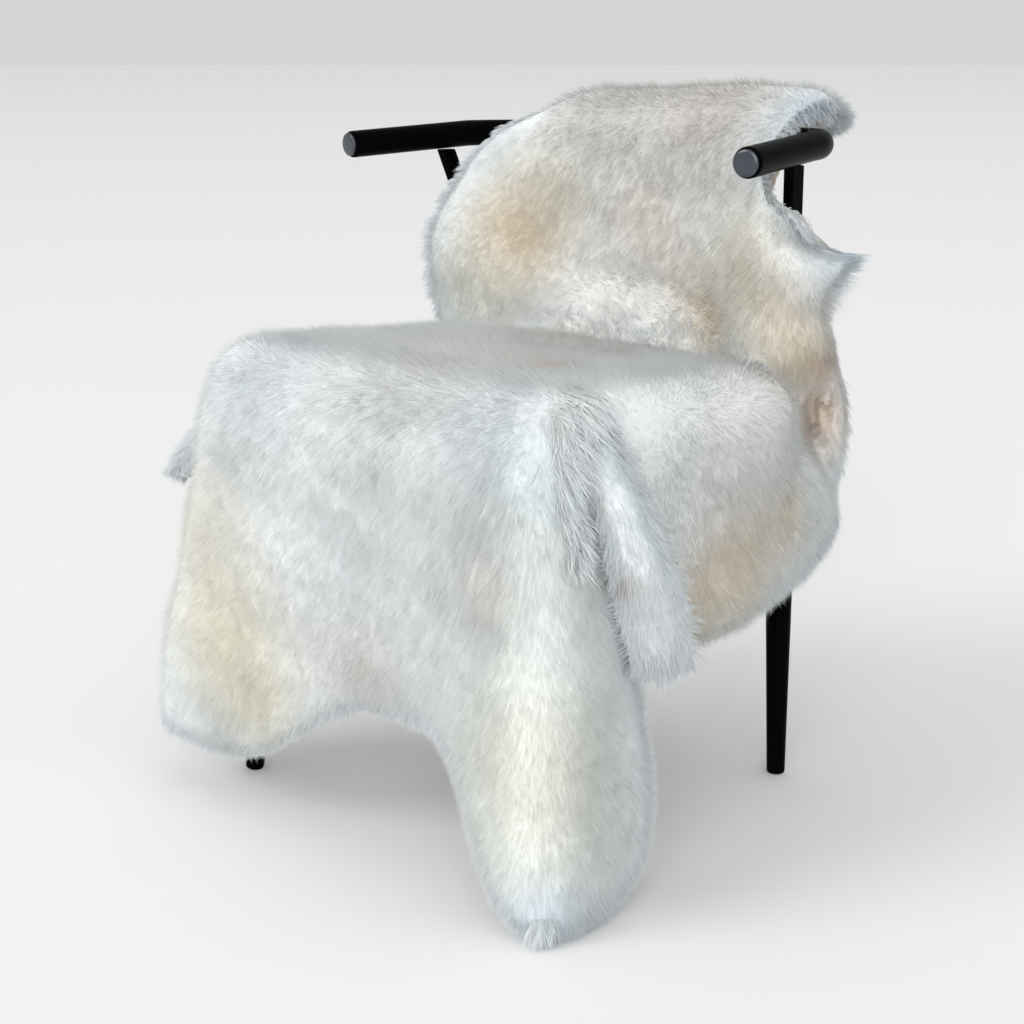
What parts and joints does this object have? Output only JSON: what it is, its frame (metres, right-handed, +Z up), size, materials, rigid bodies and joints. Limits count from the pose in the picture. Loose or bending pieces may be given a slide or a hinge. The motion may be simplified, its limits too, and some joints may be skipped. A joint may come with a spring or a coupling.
{
  "type": "sheepskin rug draped on chair",
  "caption": "Ivory sheepskin rug with thick pile, draped over the back, seat and front of a slim black open-armed chair.",
  "frame": {"origin": "on the floor, under the middle of the object's bounding box", "axes": "+Z up; the chair faces -Y; +X is to the right as seen from the chair's front"},
  "size_m": [0.6988, 0.625, 0.7843],
  "materials": {
    "ivory_wool": "deep tousled ivory pile",
    "chair_black": "satin black paint"
  },
  "bodies": {
    "root": {"sheepskin_rug": "ivory_wool", "chair_seat": "chair_black", "chair_rail": "chair_black", "leg_front_left": "chair_black", "leg_front_right": "chair_black", "leg_rear_left": "chair_black", "leg_rear_right": "chair_black", "post_left": "chair_black", "post_right": "chair_black"}
  },
  "joints": []
}
